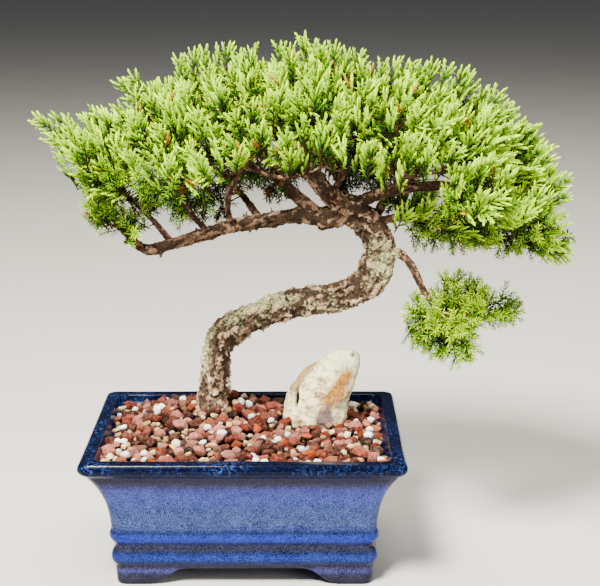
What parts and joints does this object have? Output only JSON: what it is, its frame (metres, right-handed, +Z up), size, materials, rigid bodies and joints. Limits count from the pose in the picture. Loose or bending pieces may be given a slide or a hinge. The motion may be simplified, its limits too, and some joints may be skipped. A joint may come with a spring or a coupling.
{
  "type": "bonsai tree",
  "caption": "Japanese garden juniper bonsai with an S-curved trunk and an umbrella crown, in a blue glazed rectangular pot of lava gravel with a standing stone.",
  "frame": {"origin": "middle of the footprint of the whole bonsai, on the plane that the pot's feet stand on", "axes": "+Z up, the pot's long sides along X, the tree seen from -Y as in the picture, with its low limb to -X"},
  "size_m": [0.3562, 0.229, 0.3476],
  "materials": {
    "glaze": "gloss",
    "screen": "matte",
    "gravel": "matte",
    "stone": "matte",
    "bark": "matte",
    "leaf": "satin"
  },
  "bodies": {
    "root": {"pot": "glaze", "drain_screen_left": "screen", "drain_screen_right": "screen", "soil_and_gravel": "gravel", "standing_stone": "stone", "trunk_and_limbs": "bark", "foliage_foremost_1": "leaf", "foliage_foremost_2": "leaf", "foliage_foremost_3": "leaf", "foliage_foremost_4": "leaf", "foliage_foremost_5": "leaf", "foliage_front_1": "leaf", "foliage_front_2": "leaf", "foliage_front_3": "leaf", "foliage_front_4": "leaf", "foliage_front_5": "leaf", "foliage_front_6": "leaf", "foliage_ridge_1": "leaf", "foliage_ridge_2": "leaf", "foliage_ridge_3": "leaf", "foliage_ridge_4": "leaf", "foliage_ridge_5": "leaf", "foliage_ridge_6": "leaf", "foliage_ridge_7": "leaf", "foliage_back_1": "leaf", "foliage_back_2": "leaf", "foliage_back_3": "leaf", "foliage_back_4": "leaf", "foliage_back_5": "leaf", "foliage_back_6": "leaf", "foliage_rearmost_1": "leaf", "foliage_rearmost_2": "leaf", "foliage_rearmost_3": "leaf", "foliage_rearmost_4": "leaf", "foliage_left_end": "leaf", "foliage_left_droop": "leaf", "foliage_right_end": "leaf", "foliage_right_tip": "leaf", "foliage_right_low": "leaf", "foliage_right_under": "leaf", "foliage_right_back": "leaf", "foliage_clump_near": "leaf", "foliage_clump_top": "leaf", "foliage_clump_far": "leaf", "foliage_clump_low": "leaf"}
  },
  "joints": []
}
